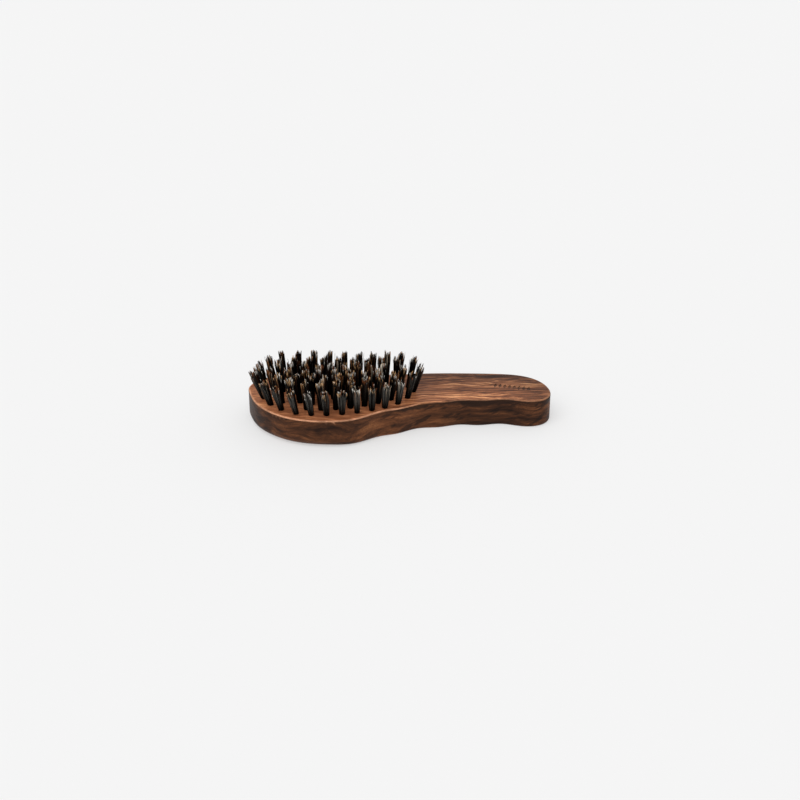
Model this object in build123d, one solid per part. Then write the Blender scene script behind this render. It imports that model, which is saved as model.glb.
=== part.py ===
from build123d import *
import math
import os

# A wooden beard brush, lying on its back with the bristles up.
# +Z points from the back of the brush to the bristle tips, +X from the head to the end of the handle,
# and -Y is the side where the fingers wrap round the handle. Lengths are in millimetres.

# ---- Wooden body ----
WOOD_THICKNESS = 15.6
FACE_EDGE_RADIUS = 0.9

# Sections the body is lofted through, close together where its edges are rounded:
# heights above the back, and distances below the flat face.
BACK_SECTIONS = [0.0, 0.25, 0.9, 2.0, 3.6, 5.6, 10.0]
FACE_SECTIONS = [2.0, 0.9, 0.45, 0.12, 0.0]

# Plan outline of the flat face, anticlockwise from the toe of the head: x, y, and the radius
# that rounds the edge between the wall and the back of the brush at that point.
HEAD_FRONT = [
    (-80.8, 8.6, 1.8),
    (-79.3, 2.4, 2.6),
    (-75.1, -8.3, 3.8),
    (-66.6, -18.5, 4.8),
    (-56.3, -25.1, 5.2),
    (-46.0, -28.0, 5.2),
    (-35.5, -28.5, 4.6),
    (-25.3, -26.9, 3.4),
    (-19.0, -23.8, 2.8),
    (-13.0, -19.5, 2.4),
    (-6.5, -16.1, 1.8),
]
HANDLE_END = [
    (77.4, -2.9, 1.4),
    (80.0, 0.8, 1.4),
    (80.9, 6.2, 1.4),
    (79.4, 12.8, 1.4),
    (74.8, 20.1, 1.4),
    (66.8, 25.2, 1.4),
    (54.0, 27.6, 1.4),
]
BACK_EDGE = [
    (38.0, 28.3, 1.4),
    (18.0, 28.3, 1.8),
    (-3.5, 26.8, 2.6),
    (-24.0, 26.2, 3.2),
    (-44.0, 26.6, 3.6),
    (-58.5, 26.8, 3.4),
    (-71.0, 23.6, 2.8),
    (-78.4, 17.2, 2.2),
]

# Finger grooves: crests and hollows along the front of the handle, measured at the flat face.
FINGER_CRESTS = [(0.4, -14.1), (24.0, -6.4), (44.3, -4.2), (69.5, -5.6)]
FINGER_HOLLOWS = [(12.4, -8.3), (35.2, -4.0), (56.4, -3.1)]
FINGER_EDGE_RADIUS = 1.2
GROOVE_LEAN = 2.4
GROOVE_DEEPENING = 0.22

# A plain row of lozenges engraved in the flat face near the end of the handle.
ENGRAVED_COUNT = 8
ENGRAVED_START = (51.8, 12.6)
ENGRAVED_END = (69.4, 8.6)
ENGRAVED_LENGTH = 5.0
ENGRAVED_WIDTH = 1.9
ENGRAVED_DEPTH = 0.25

# ---- Drilled holes and tufts ----
HOLE_DIAMETER = 3.0
HOLE_DEPTH = 7.0
DRILL_PROUD = 2.0
TUFT_CLEARANCE = 0.05
TUFT_END_GAP = 0.1
TUFT_LENGTH = 17.5
TUFT_WAIST_HEIGHT = 0.9
TUFT_SPREAD_HEIGHT = 15.6
TUFT_TIP_DIAMETER = 4.8
TUFT_WAIST_IN = 0.15
TUFT_CAP_PART = 0.6
ROW_SPACING = 6.0

# Tufts of the outer ring, anticlockwise from the leftmost one in front: x and y of the hole, and
# how far the tuft leans along x and along y, in degrees.
OUTER_TUFTS = [
    (-71.4, -2.4, -18.0, -3.0),
    (-67.3, -9.9, -12.0, -20.0),
    (-61.4, -15.5, -9.5, -22.0),
    (-53.4, -20.0, -8.5, -22.0),
    (-45.5, -21.3, -4.0, -22.0),
    (-37.6, -21.5, -1.5, -22.0),
    (-29.6, -20.3, 1.0, -22.0),
    (-21.8, -18.5, 0.0, -22.0),
    (-14.2, -15.8, 1.0, -22.0),
    (-7.5, -12.9, 3.0, -22.0),
    (-0.7, -8.7, 7.0, -20.0),
    (4.4, -1.6, 11.0, -17.0),
    (7.5, 5.8, 14.0, -12.0),
    (4.8, 11.0, 11.0, 1.0),
    (-0.6, 13.5, 6.0, 13.0),
    (-7.2, 13.8, 3.0, 18.0),
    (-14.4, 13.6, 1.0, 20.0),
    (-21.6, 13.9, 1.0, 20.0),
    (-29.4, 14.2, 0.0, 21.0),
    (-37.4, 14.5, 0.0, 21.0),
    (-45.6, 14.8, 0.0, 21.0),
    (-53.8, 15.2, -2.0, 21.0),
    (-61.2, 14.2, -8.0, 20.0),
    (-66.6, 9.6, -12.0, 15.0),
    (-70.2, 4.0, -15.0, 6.0),
]

# Rings inside the outer one: name, number of tufts, place of the first one as a part of a step,
# outward lean in degrees, and tufts to a node.
INNER_RINGS = [
    ("second", 20, 0.03, 10.0, 1),
    ("third", 16, 0.4, 5.0, 2),
]
CENTRE_ROW_COUNT = 4
CENTRE_ROW_START = (-49.2, -3.2)
CENTRE_ROW_END = (-27.3, -2.7)

# ---- Flat wire anchors ----
ANCHOR_LENGTH = 3.8
ANCHOR_HEIGHT = 1.6
ANCHOR_THICKNESS = 0.35
ANCHOR_FOLD = 1.0
ANCHOR_CLEARANCE = 0.02


def outline_points(height):
    """Outline of the body at a height above its back, as x, y and edge radius."""
    drop = 1.0 - height / WOOD_THICKNESS
    fingers = []
    for index, (x, y) in enumerate(FINGER_CRESTS):
        fingers.append((x - GROOVE_LEAN * drop, y - GROOVE_DEEPENING * drop, FINGER_EDGE_RADIUS))
        if index < len(FINGER_HOLLOWS):
            x, y = FINGER_HOLLOWS[index]
            fingers.append((x - GROOVE_LEAN * drop, y + GROOVE_DEEPENING * drop, FINGER_EDGE_RADIUS))
    return HEAD_FRONT + fingers + HANDLE_END + BACK_EDGE


def rounding_inset(radius, distance):
    """How far a rounded edge has drawn in from the wall, at a distance from the face it runs into."""
    if distance >= radius:
        return 0.0
    return radius - math.sqrt(radius**2 - (radius - distance) ** 2)


def body_section(height):
    """Closed face of the body at one height, drawn in where the edge is rounded."""
    points = outline_points(height)
    section = []
    for index, (x, y, radius) in enumerate(points):
        before = points[index - 1]
        after = points[(index + 1) % len(points)]
        along = Vector(after[0] - before[0], after[1] - before[1]).normalized()
        inset = rounding_inset(radius, height)
        inset += rounding_inset(FACE_EDGE_RADIUS, WOOD_THICKNESS - height)
        section.append((x - along.Y * inset, y + along.X * inset))
    edge = Spline(*section, periodic=True)
    return Pos(0, 0, height) * make_face(edge)


def body_blank():
    """The shaped body before drilling."""
    heights = BACK_SECTIONS + [WOOD_THICKNESS - distance for distance in FACE_SECTIONS]
    return loft([body_section(height) for height in heights])


def tuft_frame(point, axis, along):
    """Plane at a hole's mouth: z along the tuft, x along the row of holes."""
    return Plane(origin=(point.X, point.Y, WOOD_THICKNESS), x_dir=along, z_dir=axis)


def outward_axis(outward, lean):
    """The direction of a tuft that leans outwards from upright by an angle in degrees."""
    return outward * math.sin(math.radians(lean)) + Vector(0, 0, 1) * math.cos(math.radians(lean))


def outer_frames():
    """Frames of the outer ring's tufts, one at each hole."""
    frames = []
    for index, (x, y, lean_x, lean_y) in enumerate(OUTER_TUFTS):
        before = OUTER_TUFTS[index - 1]
        after = OUTER_TUFTS[(index + 1) % len(OUTER_TUFTS)]
        ring_way = Vector(after[0] - before[0], after[1] - before[1])
        axis = Vector(math.tan(math.radians(lean_x)), math.tan(math.radians(lean_y)), 1).normalized()
        along = ring_way - axis * ring_way.dot(axis)
        frames.append(tuft_frame(Vector(x, y), axis, along))
    return frames


def inner_frames(inset, count, start, lean):
    """Frames of an inner ring's tufts, evenly spaced along a line drawn in from the outer ring."""
    holes = [tuft[:2] for tuft in OUTER_TUFTS]
    line = Wire([Spline(*holes, periodic=True)]).offset_2d(-inset)
    step = line.length / count
    frames = []
    for index in range(count):
        distance = step * (index + start)
        point = line.position_at(distance, position_mode=PositionMode.LENGTH)
        tangent = line.tangent_at(distance, position_mode=PositionMode.LENGTH)
        outward = Vector(tangent.Y, -tangent.X, 0)
        frames.append(tuft_frame(point, outward_axis(outward, lean), tangent))
    return frames


def centre_frames():
    """Frames of the short upright row in the middle of the rings."""
    start = Vector(*CENTRE_ROW_START)
    end = Vector(*CENTRE_ROW_END)
    frames = []
    for index in range(CENTRE_ROW_COUNT):
        point = start + (end - start) * (index / (CENTRE_ROW_COUNT - 1))
        frames.append(tuft_frame(point, Vector(0, 0, 1), end - start))
    return frames


def hole_cutter():
    """A blind hole below the mouth, standing proud of it so that a leaning hole opens cleanly."""
    return extrude(Pos(0, 0, -HOLE_DEPTH) * Circle(HOLE_DIAMETER / 2), HOLE_DEPTH + DRILL_PROUD)


def anchor_bar(grow):
    """The anchor's flat bar across the fold, grown on its long faces by a clearance."""
    height = HOLE_DEPTH - TUFT_END_GAP - ANCHOR_FOLD
    bar = Box(ANCHOR_LENGTH + 2 * grow, ANCHOR_THICKNESS + 2 * grow, ANCHOR_HEIGHT + 2 * grow)
    return Pos(0, 0, -height + ANCHOR_HEIGHT / 2) * bar


def tuft_solid():
    """Envelope of one tuft: folded root in the hole, free length spreading to a low rounded tip."""
    root = HOLE_DIAMETER / 2 - TUFT_CLEARANCE
    tip = TUFT_TIP_DIAMETER / 2
    bottom = -(HOLE_DEPTH - TUFT_END_GAP)
    shank = extrude(Pos(0, 0, bottom) * Circle(root), TUFT_WAIST_HEIGHT - bottom)
    waist = Pos(0, 0, TUFT_WAIST_HEIGHT) * Circle(root)
    middle = Pos(0, 0, TUFT_SPREAD_HEIGHT / 2) * Circle((root + tip) / 2 - TUFT_WAIST_IN)
    spread = Pos(0, 0, TUFT_SPREAD_HEIGHT) * Circle(tip)
    cap = Pos(0, 0, TUFT_LENGTH) * Circle(tip * TUFT_CAP_PART)
    free_length = loft([waist, middle, spread]) + loft([spread, cap])
    return shank + free_length - anchor_bar(ANCHOR_CLEARANCE)


def engraved_row():
    """Shallow cutters of the engraved lozenges, side by side along their row."""
    start = Vector(*ENGRAVED_START)
    end = Vector(*ENGRAVED_END)
    half_width = ENGRAVED_WIDTH / 2
    half_length = ENGRAVED_LENGTH / 2
    corners = [(-half_width, 0), (0, -half_length), (half_width, 0), (0, half_length)]
    floor = WOOD_THICKNESS - ENGRAVED_DEPTH
    along = end - start
    cutters = []
    for index in range(ENGRAVED_COUNT):
        point = start + along * (index / (ENGRAVED_COUNT - 1))
        plane = Plane(origin=(point.X, point.Y, floor), x_dir=along, z_dir=(0, 0, 1))
        lozenge = make_face(Polyline(*corners, close=True))
        cutters.append(plane * extrude(lozenge, 2 * ENGRAVED_DEPTH))
    return cutters


def wood_body(frames):
    """The body with a drilled hole for each tuft, the anchors' bite in its wall, and the engraving."""
    cutters = engraved_row()
    for frame in frames:
        cutters.append(frame * hole_cutter())
        cutters.append(frame * anchor_bar(0.0))
    return body_blank() - cutters


def anchors(frames):
    """All the anchors, one separate bar in each hole."""
    return Compound([frame * anchor_bar(0.0) for frame in frames])


def tuft_nodes(ring, frames, to_a_node):
    """Nodes of one ring's tufts by name, with one tuft or several neighbours in each."""
    nodes = {}
    for start in range(0, len(frames), to_a_node):
        tufts = [frame * tuft_solid() for frame in frames[start : start + to_a_node]]
        number = start // to_a_node + 1
        if to_a_node == 1:
            nodes[f"tuft_{ring}_{number:02d}"] = tufts[0]
        else:
            nodes[f"tufts_{ring}_{number:02d}"] = Compound(tufts)
    return nodes


def build_parts():
    """Every node of the brush by name, before the origin is set."""
    all_frames = outer_frames()
    parts = tuft_nodes("outer", all_frames, 1)
    for depth, (ring, count, start, lean, to_a_node) in enumerate(INNER_RINGS, start=1):
        frames = inner_frames(depth * ROW_SPACING, count, start, lean)
        parts.update(tuft_nodes(ring, frames, to_a_node))
        all_frames += frames
    centre = centre_frames()
    parts["tufts_centre_row"] = Compound([frame * tuft_solid() for frame in centre])
    all_frames += centre
    parts["tuft_anchors"] = anchors(all_frames)
    parts["wood_body"] = wood_body(all_frames)
    return parts


def origin_shift(shapes):
    """Move that puts the origin at the middle of the underside of the brush's box."""
    boxes = [shape.bounding_box() for shape in shapes]
    middle_x = (min(box.min.X for box in boxes) + max(box.max.X for box in boxes)) / 2
    middle_y = (min(box.min.Y for box in boxes) + max(box.max.Y for box in boxes)) / 2
    return Pos(-middle_x, -middle_y, 0)


def main():
    parts = build_parts()
    to_origin = origin_shift(parts.values())
    os.makedirs("parts", exist_ok=True)
    for name, shape in parts.items():
        export_step(to_origin * shape, f"parts/{name}.step")


main()
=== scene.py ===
import math

import bpy
import numpy as np
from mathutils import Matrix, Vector


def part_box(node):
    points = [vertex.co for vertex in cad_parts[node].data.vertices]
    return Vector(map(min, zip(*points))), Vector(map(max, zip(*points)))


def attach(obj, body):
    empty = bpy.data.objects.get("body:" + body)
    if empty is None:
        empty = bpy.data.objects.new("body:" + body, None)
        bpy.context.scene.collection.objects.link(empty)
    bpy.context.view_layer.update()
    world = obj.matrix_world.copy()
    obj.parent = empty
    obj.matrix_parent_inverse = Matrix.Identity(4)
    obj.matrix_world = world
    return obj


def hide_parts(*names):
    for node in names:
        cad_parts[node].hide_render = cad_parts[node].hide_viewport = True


MM = 0.001

# ---- Camera: looks along +Y and down on the brush ----
CAMERA_ELEVATION = math.radians(27.0)
CAMERA_DISTANCE = 739.3 * MM
CAMERA_LENS = 63.0
CAMERA_SENSOR = 36.0
AIM_OFFSET = (0.445 * MM, -4.56 * MM)

# ---- Light ----
KEY_STRENGTH = 1.25
KEY_SIZE = math.radians(60.0)
KEY_FROM = (-0.3, -0.6, 1.0)
SKY_DOME = 0.72
SKY_HORIZON = 0.9
FLOOR_SHADE = 0.47
FLOOR_GLOW = 0.42
FLOOR_SIZE = 12.0

# ---- Wood: places in mm from the middle of the body, and heights in mm from its back ----
# A change along the wood is four numbers: where it starts, where it ends, and the value at each.
ENGRAVED_CENTRE = (60.6, 10.6, 15.6)
ENGRAVED_REACH = (13.0, 12.5)
ENGRAVED_DEPTH = (0.02, 0.12)
ENGRAVED_SCORCH = 0.6
LEVEL_ENOUGH = (0.75, 0.97)
STEEP_ENOUGH = (0.45, 0.15)

# Every streak wanders by a slow drift and then by a quicker ripple: scale, offset and reach of each.
DRIFT = ((0.03, 0.05, 0.05), (0.0, 0.0, 0.0), (8.0, 12.0, 12.0))
RIPPLE = ((0.085, 0.12, 0.12), (9.0, 3.0, 5.0), (4.0, 2.2, 2.2))

# Noise layers: scale on each axis, offset, detail and roughness.
BROAD = ((0.02, 0.11, 0.13), (0.0, 0.0, 0.0), 1.0, 0.5)
STREAKS = ((0.045, 0.9, 0.45), (3.0, 1.0, 7.0), 3.0, 0.62)
WALL_STREAKS = ((0.04, 0.14, 0.4), (8.0, 5.0, 1.0), 3.0, 0.6)
FIBRE = ((0.11, 2.2, 2.2), (5.0, 2.0, 1.0), 3.0, 0.65)
PORES = ((0.3, 4.5, 4.5), (1.0, 4.0, 2.0), 1.0, 0.5)
RIM_HIGHLIGHT_AND_WEAR_NOISE = ((0.14, 0.14, 0.1), (7.0, 1.0, 2.0), 2.0, 0.5)
BAND = ((0.11, 0.11, 0.02), (2.0, 6.0, 4.0), 2.0, 0.5)
FLECKS = ((0.09, 0.12, 0.34), (1.0, 8.0, 3.0), 2.0, 0.5)
BROAD_SHARE = 0.32
STREAK_SHARE = 0.68

# Tone along the walls and the face, and across the face; painted shade darkens the wood from the face round
# to the back.
WALL_TONES = [
    (-80.0, -55.0, 0.5, 1.0),
    (-30.0, -4.0, 1.0, 1.5),
    (0.0, 38.0, 1.0, 0.48),
    (60.0, 76.0, 1.0, 1.6),
]
FACE_END_TONE = (50.0, 80.0, 1.0, 0.72)
BACK_PAINTED_SHADE = (0.2, -0.8, 1.0, 0.72)
FACE_LIGHTNESS = (26.0, -6.0, 0.62, 1.34)
HEAD_FROM = (14.0, -6.0)
HEAD_REDNESS = 0.38

# The paler rim of the head, partly worn and partly a painted highlight; the dark band of painted shade
# under the rim of the handle; and the dark flecks.
RIM_BELOW = (0.1, 0.45)
RIM_ABOVE = (0.995, 0.9)
RIM_HIGHLIGHT_AND_WEAR_EDGE = (0.3, 0.65, 0.45, 0.9)
RIM_ALONG = (14.0, -8.0, 0.35, 1.0)
BAND_TOP = 0.7
BAND_DEPTH = (0.35, 0.65, 0.9, 3.4)
BAND_EDGE = (0.8, -0.8)
BAND_ALONG = (-8.0, 2.0)
BAND_SHADE_DARKNESS = 0.8
FLECK_SLANT = 0.45
FLECK_EDGE = (0.53, 0.63)
FLECK_ALONG = (-20.0, 5.0, 0.45, 1.0)
FLECK_DARKNESS = 0.72

FIBRE_TONE = (0.3, 0.7, 0.7, 1.22)
FIBRE_ROUGHNESS = (0.3, 0.7, 0.4, 0.55)
PORE_EDGE = (0.66, 0.72)
PORE_DARKNESS = 0.55
PORE_RELIEF = 1.2
RELIEF_STRENGTH = 0.35
RELIEF_DEPTH = 0.06 * MM

# ---- Bristles: a pair is the two ends of a random range ----
SEED = 7
STRANDS = 128
SIDES = 3
LEVELS = np.array([0.0, 0.15, 0.35, 0.55, 0.74, 0.87, 0.945, 1.0])
FULL_TURN = 2 * math.pi
GOLDEN_ANGLE = 2.39996
ROOT_DEPTH = 1.6 * MM
ROOT_RADIUS = 1.33 * MM
TUFT_LENGTH = 17.5 * MM
TIP_SPREAD = 1.78
SPREAD_SCATTER = (0.88, 1.12)
FLARE_CURVE = 1.1
STRAND_BOW = 0.13
STRAND_RADIUS = 0.14 * MM
RADIUS_SCATTER = (0.75, 1.2)
WELD = 0.001

# Tufts narrow and split less from the front of the head to its back, over these places in mm.
BACK_FROM = -5.0
BACK_REACH = 18.0
BACK_NARROWER = 0.26
BACK_UNSPLIT = 0.6

# Locks that the strands of a tuft cling in. Mixing and scatter are in mm.
LOCKS = 8
LOCK_REACH = (0.85, 1.2)
LOCK_LENGTH = (0.92, 1.05)
LOCK_MIXING = (0.0, 0.35)
LOCK_CLING = 0.5
CLING_SCATTER = 0.12
CLING_CURVE = 3.5

# Lengths as parts of the tuft's: mean and scatter of most strands, their limits, and the short ones.
STRAND_LENGTH = (0.975, 0.028)
LENGTH_LIMITS = (0.88, 1.03)
SHORT_SHARE = 0.12
SHORT_LENGTH = (0.78, 0.94)
STRAY_SHARE = 0.07

# Values along a strand: places from root to tip, and the value at each.
STRAND_TAPER = ([0.0, 0.6, 0.93, 1.0], [1.0, 0.95, 0.8, 0.4])
ROOT_SHADE = ([0.0, 0.3, 0.6, 0.85], [0.2, 0.4, 0.75, 1.0])
SHEEN_RISE = ([0.0, 0.25, 0.6, 0.9, 1.0], [0.0, 0.05, 0.9, 1.0, 0.4])
TIP_COLOUR_FROM = 0.35
TIP_COLOUR_REACH = 0.65
SPLIT_COLOUR_FROM = 0.92
SPLIT_COLOUR_REACH = 0.06
SPLIT_THICK_FROM = 0.8
SPLIT_THICKER = 1.55
FADE_CURVE = 1.5

# Strands in a bunch mostly share a kind: how many bunches a tuft has, and how many strands keep to them.
BUNCHES = 26
KIND_LOYAL = 0.75
END_LOYAL = 0.85
TONE_SCATTER = (0.7, 1.3)

# Painted sheen greys the outer side of a leaning tuft, fully at the greatest lean.
FULL_LEAN = math.sin(math.radians(22.0))
SHEEN_EDGE = 1.6
SHEEN_CURVE = 1.5

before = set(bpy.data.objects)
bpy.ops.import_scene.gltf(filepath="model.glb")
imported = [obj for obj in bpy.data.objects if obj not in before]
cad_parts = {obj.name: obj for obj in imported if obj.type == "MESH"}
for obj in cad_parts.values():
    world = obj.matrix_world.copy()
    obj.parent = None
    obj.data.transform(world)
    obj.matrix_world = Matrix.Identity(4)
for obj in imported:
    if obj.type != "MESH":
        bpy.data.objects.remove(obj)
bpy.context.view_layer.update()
wood_low, wood_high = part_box("wood_body")
FACE = wood_high.z


# ---- Node helpers ----
def new_material(name):
    """An empty node material with its Principled shader and node tree."""
    material = bpy.data.materials.new(name)
    material.use_nodes = True
    tree = material.node_tree
    return material, tree, tree.nodes["Principled BSDF"]


def node(tree, kind, **settings):
    """A node with its properties and unlinked inputs set. Inputs are given by name or number."""
    made = tree.nodes.new(kind)
    inputs = settings.pop("inputs", {})
    for key, value in settings.items():
        setattr(made, key, value)
    for key, value in inputs.items():
        if isinstance(value, bpy.types.NodeSocket):
            tree.links.new(value, made.inputs[key])
        else:
            made.inputs[key].default_value = value
    return made


def math_node(tree, operation, first, second=0.0, third=0.0, clamp=False):
    """The result of one sum on sockets or numbers."""
    made = node(tree, "ShaderNodeMath", operation=operation, use_clamp=clamp,
                inputs={0: first, 1: second, 2: third})
    return made.outputs[0]


def blend_node(tree, factor, first, second, kind="MIX"):
    """Two colours blended by a factor."""
    made = node(tree, "ShaderNodeMix", data_type="RGBA", blend_type=kind,
                inputs={0: factor, 6: first, 7: second})
    return made.outputs[2]


def smooth_range(tree, value, low, high, to_low=0.0, to_high=1.0):
    """A value moved smoothly from one range to another, and held inside it."""
    made = node(tree, "ShaderNodeMapRange", interpolation_type="SMOOTHSTEP",
                inputs={0: value, 1: low, 2: high, 3: to_low, 4: to_high})
    return made.outputs[0]


def ramp_node(tree, factor, stops):
    """A colour ramp from a list of (place, colour)."""
    made = node(tree, "ShaderNodeValToRGB", inputs={0: factor})
    elements = made.color_ramp.elements
    while len(elements) < len(stops):
        elements.new(0.5)
    for element, (place, colour) in zip(elements, stops):
        element.position = place
        element.color = (*colour, 1.0)
    return made.outputs[0]


def noise_node(tree, vector, scale=1.0, detail=3.0, roughness=0.5, distortion=0.0):
    """Fractal noise from 0 to 1 at a vector."""
    made = node(tree, "ShaderNodeTexNoise",
                inputs={"Vector": vector, "Scale": scale, "Detail": detail,
                        "Roughness": roughness, "Distortion": distortion})
    return made.outputs[0]


def stretch_node(tree, vector, scale, offset=(0.0, 0.0, 0.0)):
    """A vector scaled on each axis and moved."""
    made = node(tree, "ShaderNodeMapping",
                inputs={"Vector": vector, "Scale": scale, "Location": offset})
    return made.outputs[0]


def product(tree, first, second):
    """Two values multiplied."""
    return math_node(tree, "MULTIPLY", first, second)


def toned(tree, colour, tone):
    """A colour made lighter or darker by a tone."""
    return blend_node(tree, 1.0, colour, tone, "MULTIPLY")


def stained(tree, colour, factor, stain):
    """A colour covered with another by a factor."""
    return blend_node(tree, factor, colour, (*stain, 1.0))


def layer_noise(tree, vector, layer):
    """The noise of one layer, given as scale, offset, detail and roughness."""
    scale, offset, detail, roughness = layer
    return noise_node(tree, stretch_node(tree, vector, scale, offset), detail=detail, roughness=roughness)


# ---- Materials ----
def srgb(red, green, blue):
    """A colour given as 0 to 255 display values, in the linear values that shaders take."""
    def linear(channel):
        part = channel / 255
        return part / 12.92 if part <= 0.04045 else ((part + 0.055) / 1.055) ** 2.4
    return tuple(linear(channel) for channel in (red, green, blue))


FACE_WOOD = [
    (0.36, srgb(58, 32, 20)),
    (0.44, srgb(96, 58, 39)),
    (0.50, srgb(132, 82, 55)),
    (0.56, srgb(168, 110, 74)),
    (0.64, srgb(214, 154, 108)),
]
# The walls' wood: their own figure, made darker than the face's with painted shade.
WALL_WOOD_SHADED = [
    (0.34, srgb(37, 18, 8)),
    (0.44, srgb(66, 38, 21)),
    (0.53, srgb(87, 51, 29)),
    (0.64, srgb(114, 71, 42)),
]
HEAD_RED = srgb(196, 122, 80)
# Colour of the paler rim: partly wear, partly a painted highlight.
RIM_HIGHLIGHT_AND_WEAR = srgb(226, 164, 126)
# Dark colour of the flecks in the walls' figure, and of the painted shade under the handle's rim.
DARK_FIGURE_AND_SHADE = srgb(26, 14, 8)
PORE_BROWN = srgb(34, 20, 14)
SCORCHED = srgb(44, 34, 30)


def wood_place(tree):
    """Places in mm from the middle of the body."""
    centre = (wood_low + wood_high) / 2
    place = node(tree, "ShaderNodeTexCoord").outputs["Object"]
    place = node(tree, "ShaderNodeVectorMath", operation="SUBTRACT",
                 inputs={0: place, 1: (centre.x, centre.y, 0.0)}).outputs[0]
    return node(tree, "ShaderNodeVectorMath", operation="SCALE",
                inputs={0: place, "Scale": 1 / MM}).outputs[0]


def wandering(tree, place):
    """Places moved about by the drift and the ripple, so that every streak wanders along the grain."""
    wander = place
    for scale, offset, reach in (DRIFT, RIPPLE):
        push = node(tree, "ShaderNodeTexNoise",
                    inputs={"Vector": stretch_node(tree, place, scale, offset),
                            "Scale": 1.0, "Detail": 1.0}).outputs[1]
        wander = node(tree, "ShaderNodeVectorMath", operation="MULTIPLY_ADD",
                      inputs={0: push, 1: reach, 2: wander}).outputs[0]
    return wander


def grain_colour(tree, wander, along, facing_up, on_flat):
    """The figure of the face and the back, and that of the walls, made darker with painted shade."""
    broad = product(tree, layer_noise(tree, wander, BROAD), BROAD_SHARE)
    streaks = layer_noise(tree, wander, STREAKS)
    wall_streaks = layer_noise(tree, wander, WALL_STREAKS)
    face = ramp_node(tree, math_node(tree, "MULTIPLY_ADD", streaks, STREAK_SHARE, broad), FACE_WOOD)
    wall = ramp_node(tree, math_node(tree, "MULTIPLY_ADD", wall_streaks, STREAK_SHARE, broad), WALL_WOOD_SHADED)
    wall_tone = smooth_range(tree, along, *WALL_TONES[0])
    for change in WALL_TONES[1:]:
        wall_tone = product(tree, wall_tone, smooth_range(tree, along, *change))
    wall = toned(tree, wall, wall_tone)
    face = toned(tree, face, smooth_range(tree, along, *FACE_END_TONE))
    # Painted shade: faces turned down towards the back are darker.
    face = toned(tree, face, smooth_range(tree, facing_up, *BACK_PAINTED_SHADE))
    # Painted shade: the walls take the darker ramp, the flat face and the back the lighter one.
    return blend_node(tree, on_flat, wall, face)


def face_light(tree, colour, along, over, on_face):
    """The flat face is lightest along its front, and redder round the tufts."""
    lightness = math_node(tree, "SUBTRACT", smooth_range(tree, over, *FACE_LIGHTNESS), 1.0)
    colour = toned(tree, colour, math_node(tree, "MULTIPLY_ADD", lightness, on_face, 1.0))
    head = product(tree, smooth_range(tree, along, *HEAD_FROM), on_face)
    return stained(tree, colour, product(tree, head, HEAD_REDNESS), HEAD_RED)


def rim_highlight_and_wear(tree, colour, place, along, facing_up):
    """A paler line along the rim of the head: partly worn by handling, partly a painted highlight."""
    rim = product(tree, smooth_range(tree, facing_up, *RIM_BELOW),
                  smooth_range(tree, facing_up, *RIM_ABOVE))
    rim = product(tree, rim, smooth_range(tree, layer_noise(tree, place, RIM_HIGHLIGHT_AND_WEAR_NOISE), *RIM_HIGHLIGHT_AND_WEAR_EDGE))
    highlight_and_wear = product(tree, rim, smooth_range(tree, along, *RIM_ALONG))
    return stained(tree, colour, highlight_and_wear, RIM_HIGHLIGHT_AND_WEAR)


def shade_band_under_rim(tree, place, along, height):
    """An uneven dark band of painted shade under the rim of the handle."""
    depth = smooth_range(tree, layer_noise(tree, place, BAND), *BAND_DEPTH)
    below = math_node(tree, "SUBTRACT", FACE / MM - BAND_TOP, height)
    past = math_node(tree, "SUBTRACT", below, depth)
    return product(tree, smooth_range(tree, past, *BAND_EDGE), smooth_range(tree, along, *BAND_ALONG))


def dark_flecks(tree, wander, along):
    """Dark flecks that slant across the walls."""
    slant = node(tree, "ShaderNodeMapping",
                 inputs={"Vector": wander, "Rotation": (0.0, FLECK_SLANT, 0.0)}).outputs[0]
    return product(tree, smooth_range(tree, layer_noise(tree, slant, FLECKS), *FLECK_EDGE),
                   smooth_range(tree, along, *FLECK_ALONG))


def engraved_mask(tree, place, height):
    """The engraved lozenges: below the face, and near the middle of their row."""
    from_row = node(tree, "ShaderNodeVectorMath", operation="DISTANCE",
                    inputs={0: place, 1: ENGRAVED_CENTRE}).outputs["Value"]
    below = [FACE / MM - depth for depth in ENGRAVED_DEPTH]
    return product(tree, smooth_range(tree, height, *below),
                   smooth_range(tree, from_row, *ENGRAVED_REACH))


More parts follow.
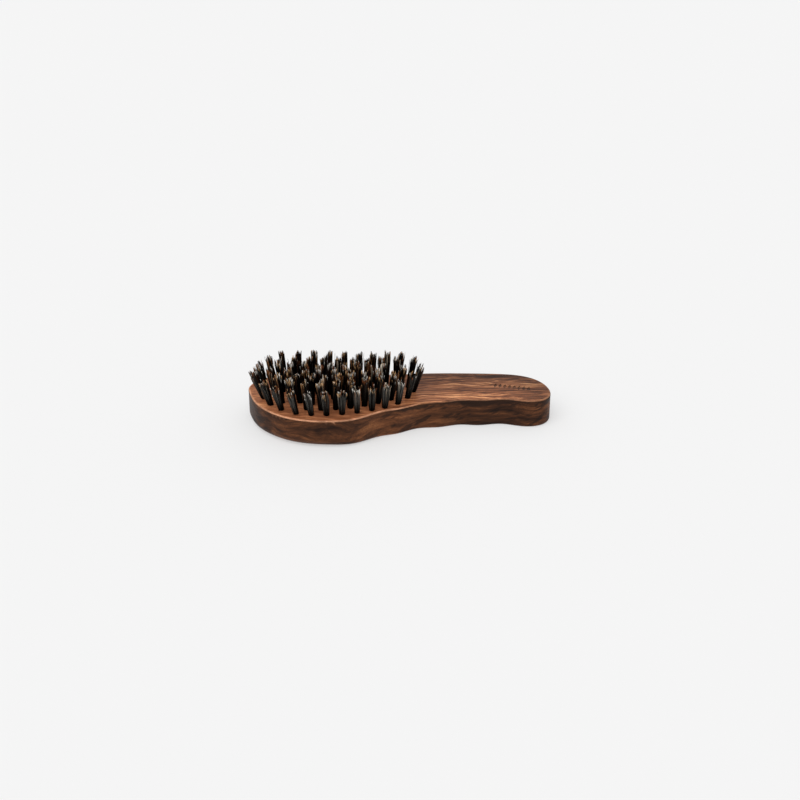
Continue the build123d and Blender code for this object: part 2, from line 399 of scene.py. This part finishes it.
def wood_material():
    """Oiled walnut: wavy lengthwise figure, fine fibre, open pores and a paler rim, partly worn and partly
    a painted highlight.
    """
    material, tree, shader = new_material("oiled_walnut")
    place = wood_place(tree)
    along, over, height = node(tree, "ShaderNodeSeparateXYZ", inputs={0: place}).outputs
    facing = node(tree, "ShaderNodeNewGeometry").outputs["Normal"]
    facing_up = node(tree, "ShaderNodeSeparateXYZ", inputs={0: facing}).outputs[2]
    tilt = math_node(tree, "ABSOLUTE", facing_up)
    on_flat = smooth_range(tree, tilt, *LEVEL_ENOUGH)
    on_face = smooth_range(tree, facing_up, *LEVEL_ENOUGH)
    on_wall = smooth_range(tree, tilt, *STEEP_ENOUGH)
    wander = wandering(tree, place)
    fibre = layer_noise(tree, wander, FIBRE)
    pores = smooth_range(tree, layer_noise(tree, place, PORES), *PORE_EDGE)

    colour = grain_colour(tree, wander, along, facing_up, on_flat)
    colour = face_light(tree, colour, along, over, on_face)
    colour = rim_highlight_and_wear(tree, colour, place, along, facing_up)
    # Painted shade: an uneven dark band under the rim of the handle, on the walls.
    band = product(tree, shade_band_under_rim(tree, place, along, height), BAND_SHADE_DARKNESS)
    flecks = product(tree, dark_flecks(tree, wander, along), FLECK_DARKNESS)
    dark = product(tree, math_node(tree, "MAXIMUM", band, flecks), on_wall)
    colour = stained(tree, colour, dark, DARK_FIGURE_AND_SHADE)
    colour = toned(tree, colour, smooth_range(tree, fibre, *FIBRE_TONE))
    colour = stained(tree, colour, product(tree, pores, PORE_DARKNESS), PORE_BROWN)
    engraved = engraved_mask(tree, place, height)
    colour = stained(tree, colour, product(tree, engraved, ENGRAVED_SCORCH), SCORCHED)

    tree.links.new(colour, shader.inputs["Base Color"])
    tree.links.new(smooth_range(tree, fibre, *FIBRE_ROUGHNESS), shader.inputs["Roughness"])
    shader.inputs["Specular IOR Level"].default_value = 0.12
    relief = math_node(tree, "SUBTRACT", fibre, product(tree, pores, PORE_RELIEF))
    bump = node(tree, "ShaderNodeBump",
                inputs={"Strength": RELIEF_STRENGTH, "Distance": RELIEF_DEPTH, "Height": relief})
    tree.links.new(bump.outputs[0], shader.inputs["Normal"])
    return material


def bristle_material():
    """Natural bristle: each strand's colour, with its painted sheen and root shade, and faint streaks and
    darker specks along it.
    """
    material, tree, shader = new_material("natural_bristle")
    tint = node(tree, "ShaderNodeAttribute", attribute_name="strand_tint").outputs["Color"]
    place = node(tree, "ShaderNodeTexCoord").outputs["Object"]
    grain = noise_node(tree, stretch_node(tree, place, (3000.0, 3000.0, 700.0)), detail=2.0)
    tone = smooth_range(tree, grain, 0.3, 0.7, 0.7, 1.3)
    tree.links.new(toned(tree, tint, tone), shader.inputs["Base Color"])
    shader.inputs["Roughness"].default_value = 0.32
    shader.inputs["Specular IOR Level"].default_value = 0.035
    return material


def wire_material():
    """Flat steel wire with fine drawing lines."""
    material, tree, shader = new_material("anchor_steel")
    place = node(tree, "ShaderNodeTexCoord").outputs["Object"]
    lines = noise_node(tree, stretch_node(tree, place, (4000.0, 4000.0, 400.0)), detail=2.0)
    colour = ramp_node(tree, lines, [(0.3, (0.32, 0.31, 0.29)), (0.7, (0.5, 0.49, 0.47))])
    tree.links.new(colour, shader.inputs["Base Color"])
    shader.inputs["Metallic"].default_value = 1.0
    shader.inputs["Roughness"].default_value = 0.35
    return material


def floor_material():
    """Pale matt surface with a very faint mottle."""
    material, tree, shader = new_material("pale_floor")
    place = node(tree, "ShaderNodeTexCoord").outputs["Object"]
    mottle = noise_node(tree, place, scale=3.0, detail=2.0)
    shade = smooth_range(tree, mottle, 0.2, 0.8, FLOOR_SHADE * 0.995, FLOOR_SHADE)
    grey = node(tree, "ShaderNodeCombineColor", inputs={0: shade, 1: shade, 2: shade})
    tree.links.new(grey.outputs[0], shader.inputs["Base Color"])
    shader.inputs["Roughness"].default_value = 1.0
    shader.inputs["Specular IOR Level"].default_value = 0.0
    shader.inputs["Emission Color"].default_value = (1.0, 1.0, 1.0, 1.0)
    shader.inputs["Emission Strength"].default_value = FLOOR_GLOW
    return material


# ---- Camera, light and floor ----
def add_camera():
    """The camera, at the distance and height of the view."""
    aim = Vector(((wood_low.x + wood_high.x) / 2 + AIM_OFFSET[0],
                  (wood_low.y + wood_high.y) / 2 + AIM_OFFSET[1], FACE))
    back = Vector((0.0, -math.cos(CAMERA_ELEVATION), math.sin(CAMERA_ELEVATION)))
    data = bpy.data.cameras.new("camera")
    data.lens = CAMERA_LENS
    data.sensor_width = CAMERA_SENSOR
    data.clip_start = 0.01
    data.clip_end = 50.0
    camera = bpy.data.objects.new("camera", data)
    camera.location = aim + back * CAMERA_DISTANCE
    camera.rotation_euler = (math.pi / 2 - CAMERA_ELEVATION, 0.0, 0.0)
    bpy.context.scene.collection.objects.link(camera)
    bpy.context.scene.camera = camera


def add_light():
    """A broad soft light overhead, and a pale surround that is brightest near the horizon."""
    data = bpy.data.lights.new("key", "SUN")
    data.energy = KEY_STRENGTH
    data.angle = KEY_SIZE
    key = bpy.data.objects.new("key", data)
    key.rotation_euler = Vector(KEY_FROM).to_track_quat("Z", "Y").to_euler()
    bpy.context.scene.collection.objects.link(key)
    world = bpy.data.worlds.new("surround")
    bpy.context.scene.world = world
    world.use_nodes = True
    tree = world.node_tree
    direction = node(tree, "ShaderNodeTexCoord").outputs["Generated"]
    height = node(tree, "ShaderNodeSeparateXYZ", inputs={0: direction}).outputs[2]
    shade = smooth_range(tree, height, 0.05, 0.22, SKY_HORIZON, SKY_DOME)
    background = tree.nodes["Background"]
    tree.links.new(shade, background.inputs["Color"])
    background.inputs["Strength"].default_value = 1.0


def add_floor():
    """A plain pale floor under the brush."""
    half = FLOOR_SIZE / 2
    mesh = bpy.data.meshes.new("floor")
    corners = [(-half, -half, 0), (half, -half, 0), (half, half, 0), (-half, half, 0)]
    mesh.from_pydata(corners, [], [(0, 1, 2, 3)])
    mesh.materials.append(floor_material())
    floor = bpy.data.objects.new("floor", mesh)
    bpy.context.scene.collection.objects.link(floor)


# ---- Tufts ----
def solids_of(name):
    """The separate solids in a CAD node's mesh, each as its triangles' corner points."""
    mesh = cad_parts[name].data
    points = np.zeros(len(mesh.vertices) * 3)
    mesh.vertices.foreach_get("co", points)
    points = points.reshape(-1, 3)
    triangles = np.array([polygon.vertices[:] for polygon in mesh.polygons])
    _, joined = np.unique(np.round(points / (WELD * MM)).astype(int), axis=0, return_inverse=True)
    joined = joined.ravel()[triangles]
    labels = np.arange(joined.max() + 1)
    while True:
        lowest = labels[joined].min(axis=1)
        spread = labels.copy()
        np.minimum.at(spread, joined.ravel(), np.repeat(lowest, 3))
        if (spread == labels).all():
            break
        labels = spread
    owner = labels[joined[:, 0]]
    return [points[triangles[owner == label]] for label in np.unique(owner)]


def tuft_axis(corners):
    """Where a tuft leaves the flat face, and its direction, from the solid that stands for it."""
    centres = corners.mean(axis=1)
    sides = np.cross(corners[:, 1] - corners[:, 0], corners[:, 2] - corners[:, 0])
    areas = np.linalg.norm(sides, axis=1)
    middle = np.average(centres, axis=0, weights=areas)
    spread = np.cov((centres - middle).T, aweights=areas)
    axis = np.linalg.eigh(spread)[1][:, -1]
    axis *= np.sign(axis[2])
    mouth = middle + axis * (FACE - middle[2]) / axis[2]
    return mouth, axis


def across(axis):
    """Two directions square to an axis and to each other."""
    first = np.cross(axis, (0.0, 1.0, 0.0))
    first /= np.linalg.norm(first)
    return first, np.cross(axis, first)


STRAND_KINDS = [
    # share, root colour, colour near the tip
    (0.76, srgb(3, 2, 2), srgb(12, 9, 8)),
    (0.14, srgb(10, 6, 4), srgb(62, 36, 22)),
    (0.06, srgb(20, 12, 8), srgb(150, 104, 66)),
    (0.04, srgb(28, 24, 20), srgb(206, 190, 168)),
]
END_KINDS = [
    # share, colour of the split end
    (0.66, srgb(20, 16, 13)),
    (0.08, srgb(140, 84, 52)),
    (0.11, srgb(236, 190, 138)),
    (0.15, srgb(255, 250, 240)),
]
# Grey of the painted sheen on the outer side of leaning tufts.
SHEEN_GREY = srgb(126, 124, 118)


def pick_by_bunch(random, root_u, root_v, kinds, loyal):
    """A kind for each strand. Neighbours in a bunch mostly share theirs."""
    count = len(root_u)
    shares = [kind[0] for kind in kinds]
    middle = random.integers(0, count, BUNCHES)
    gap = (root_u[:, None] - root_u[middle]) ** 2 + (root_v[:, None] - root_v[middle]) ** 2
    of_bunch = random.choice(len(kinds), size=BUNCHES, p=shares)[gap.argmin(axis=1)]
    own = random.choice(len(kinds), size=count, p=shares)
    return np.where(random.uniform(size=count) < loyal, of_bunch, own)


def strand_colours(random, root_u, root_v, sheened, ended):
    """Colours of each strand from root to tip. A painted sheen greys a leaning tuft's outer side."""
    count = len(root_u)
    picked = pick_by_bunch(random, root_u, root_v, STRAND_KINDS, KIND_LOYAL)
    roots = np.array([kind[1] for kind in STRAND_KINDS])[picked][:, None, :]
    tips = np.array([kind[2] for kind in STRAND_KINDS])[picked][:, None, :]
    fade = np.clip((LEVELS - TIP_COLOUR_FROM) / TIP_COLOUR_REACH, 0, 1)[None, :, None] ** FADE_CURVE
    colours = (roots * (1 - fade) + tips * fade) * random.uniform(*TONE_SCATTER, (count, 1, 1))
    colours *= np.interp(LEVELS, *ROOT_SHADE)[None, :, None]
    # Painted sheen: the outer side of a leaning tuft is greyed along its upper part.
    sheen = np.interp(LEVELS, *SHEEN_RISE)[None, :] * sheened[:, None]
    sheen = (sheen * random.uniform(0.0, 1.0, (count, 1)) ** SHEEN_CURVE)[..., None]
    colours = colours * (1 - sheen) + np.array(SHEEN_GREY) * sheen
    ends = np.array([kind[1] for kind in END_KINDS])[ended][:, None, :]
    end = np.clip((LEVELS - SPLIT_COLOUR_FROM) / SPLIT_COLOUR_REACH, 0, 1)
    end = end[None, :, None] * (ended > 0)[:, None, None]
    return colours * (1 - end) + ends * end


def sunflower(count, start):
    """Even places over a disc: how far out each is, as a part of the radius, and its turn."""
    steps = np.arange(count)
    return np.sqrt((steps + 0.5) / count), steps * GOLDEN_ANGLE + start


def lock_pull(random, flare_u, flare_v, spread):
    """How far each strand is pulled towards its lock, and the length of that lock."""
    reach, turn = sunflower(LOCKS, random.uniform(0, FULL_TURN))
    reach = reach * ROOT_RADIUS * spread * random.uniform(*LOCK_REACH, LOCKS)
    lock_u = reach * np.cos(turn)
    lock_v = reach * np.sin(turn)
    lock_length = random.uniform(*LOCK_LENGTH, LOCKS)
    gap = np.hypot(flare_u[:, None] - lock_u, flare_v[:, None] - lock_v)
    lock = (gap + random.uniform(*LOCK_MIXING, gap.shape) * MM).argmin(axis=1)
    pull_u = (lock_u[lock] - flare_u) * LOCK_CLING + random.normal(size=STRANDS) * CLING_SCATTER * MM
    pull_v = (lock_v[lock] - flare_v) * LOCK_CLING + random.normal(size=STRANDS) * CLING_SCATTER * MM
    return pull_u, pull_v, lock_length[lock]


def strand_lengths(random, lock_length):
    """The length of each strand. Some are short."""
    part = np.clip(random.normal(*STRAND_LENGTH, STRANDS), *LENGTH_LIMITS)
    length = TUFT_LENGTH * lock_length * part
    short = random.uniform(size=STRANDS) < SHORT_SHARE
    return np.where(short, length * random.uniform(*SHORT_LENGTH, STRANDS), length)


def sheened_strands(root_u, root_v, first, second, axis):
    """How much painted sheen each strand takes: most on the outer side of a tuft that leans far."""
    level_part = (axis[0], axis[1], 0.0)
    lean = np.array([first @ level_part, second @ level_part]) / FULL_LEAN
    outer = (root_u * lean[0] + root_v * lean[1]) / ROOT_RADIUS * SHEEN_EDGE
    return np.clip(outer, 0, 1) * np.hypot(*lean) ** 2


def tuft_strands(random, mouth, axis):
    """Centre lines, radii and colours of one tuft's strands, and the two directions across it."""
    first, second = across(axis)
    reach, turn = sunflower(STRANDS, random.uniform(0, FULL_TURN))
    reach = reach * ROOT_RADIUS
    root_u = reach * np.cos(turn)
    root_v = reach * np.sin(turn)

    # The bundle flares, and near the tips its strands cling in locks that end in ragged points.
    toward_back = np.clip((mouth[1] / MM - BACK_FROM) / BACK_REACH, 0, 1)
    spread = TIP_SPREAD * (1 - BACK_NARROWER * toward_back) * random.uniform(*SPREAD_SCATTER)
    flare_u = root_u * spread
    flare_v = root_v * spread
    cling_u, cling_v, lock_length = lock_pull(random, flare_u, flare_v, spread)
    stray = np.where(random.uniform(size=STRANDS) < STRAY_SHARE, 1.0, 0.0) * MM
    flare_u = flare_u + random.normal(size=STRANDS) * stray
    flare_v = flare_v + random.normal(size=STRANDS) * stray
    length = strand_lengths(random, lock_length)

    level = LEVELS[None, :, None]
    bow = random.normal(0, STRAND_BOW, (STRANDS, 1, 2)) * MM
    root = np.stack([root_u, root_v], axis=1)[:, None, :]
    flare = np.stack([flare_u, flare_v], axis=1)[:, None, :]
    cling = np.stack([cling_u, cling_v], axis=1)[:, None, :]
    sideways = root + (flare - root) * level**FLARE_CURVE + cling * level**CLING_CURVE
    sideways = sideways + bow * np.sin(level * math.pi)
    climb = -ROOT_DEPTH + (length[:, None, None] + ROOT_DEPTH) * level
    lines = mouth + sideways[..., :1] * first + sideways[..., 1:] * second + climb * axis

    ended = pick_by_bunch(random, root_u, root_v, END_KINDS, END_LOYAL)
    ended = np.where(random.uniform(size=STRANDS) < BACK_UNSPLIT * toward_back, 0, ended)
    radii = STRAND_RADIUS * random.uniform(*RADIUS_SCATTER, (STRANDS, 1)) * np.interp(LEVELS, *STRAND_TAPER)
    radii = radii * np.where(ended > 0, SPLIT_THICKER, 1.0)[:, None] ** (LEVELS > SPLIT_THICK_FROM)
    sheened = sheened_strands(root_u, root_v, first, second, axis)
    return lines, radii, strand_colours(random, root_u, root_v, sheened, ended), (first, second)


def strand_mesh(name, tufts):
    """One mesh of tapered strands from the tufts' centre lines."""
    points = []
    tints = []
    faces = []
    start = 0
    for lines, radii, colours, (first, second) in tufts:
        count, levels = radii.shape
        turn = np.arange(SIDES) * FULL_TURN / SIDES + np.arange(count)[:, None]
        rim = np.cos(turn)[..., None] * first + np.sin(turn)[..., None] * second
        rings = lines[:, :, None, :] + radii[:, :, None, None] * rim[:, None, :, :]
        points.append(rings.reshape(-1, 3))
        tints.append(np.repeat(colours[:, :, None, :], SIDES, axis=2).reshape(-1, 3))
        ring = np.arange(SIDES)
        step = (ring + 1) % SIDES
        for strand in range(count):
            for level in range(levels - 1):
                low = start + (strand * levels + level) * SIDES
                high = low + SIDES
                faces += [(low + a, low + b, high + b, high + a) for a, b in zip(ring, step)]
            foot = start + strand * levels * SIDES
            head = foot + (levels - 1) * SIDES
            faces.append(tuple(foot + ring[::-1]))
            faces.append(tuple(head + ring))
        start += count * levels * SIDES
    points = np.concatenate(points)
    tints = np.concatenate(tints)
    mesh = bpy.data.meshes.new(name)
    mesh.from_pydata(points.tolist(), [], [tuple(int(i) for i in face) for face in faces])
    layer = mesh.color_attributes.new("strand_tint", "FLOAT_COLOR", "POINT")
    values = np.ones((len(points), 4), np.float32)
    values[:, :3] = tints
    layer.data.foreach_set("color", values.ravel())
    mesh.shade_smooth()
    return mesh


def add_tufts():
    """A piece of bristles in the place of each tuft node."""
    random = np.random.default_rng(SEED)
    material = bristle_material()
    for name in sorted(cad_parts):
        if name in PLAIN_NODES:
            continue
        piece_name = name.replace("tufts", "tuft").replace("tuft", "bristles")
        tufts = [tuft_strands(random, *tuft_axis(solid)) for solid in solids_of(name)]
        mesh = strand_mesh(piece_name, tufts)
        mesh.materials.append(material)
        piece = bpy.data.objects.new(piece_name, mesh)
        bpy.context.scene.collection.objects.link(piece)
        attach(piece, "root")
        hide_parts(name)


def finish_cad_nodes():
    """Materials for the wood and the anchors, which keep their CAD meshes."""
    for name, make_material in PLAIN_NODES.items():
        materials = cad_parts[name].data.materials
        materials.clear()
        materials.append(make_material())


PLAIN_NODES = {"wood_body": wood_material, "tuft_anchors": wire_material}

bpy.context.scene.view_settings.view_transform = "Standard"
add_camera()
add_light()
add_floor()
finish_cad_nodes()
add_tufts()
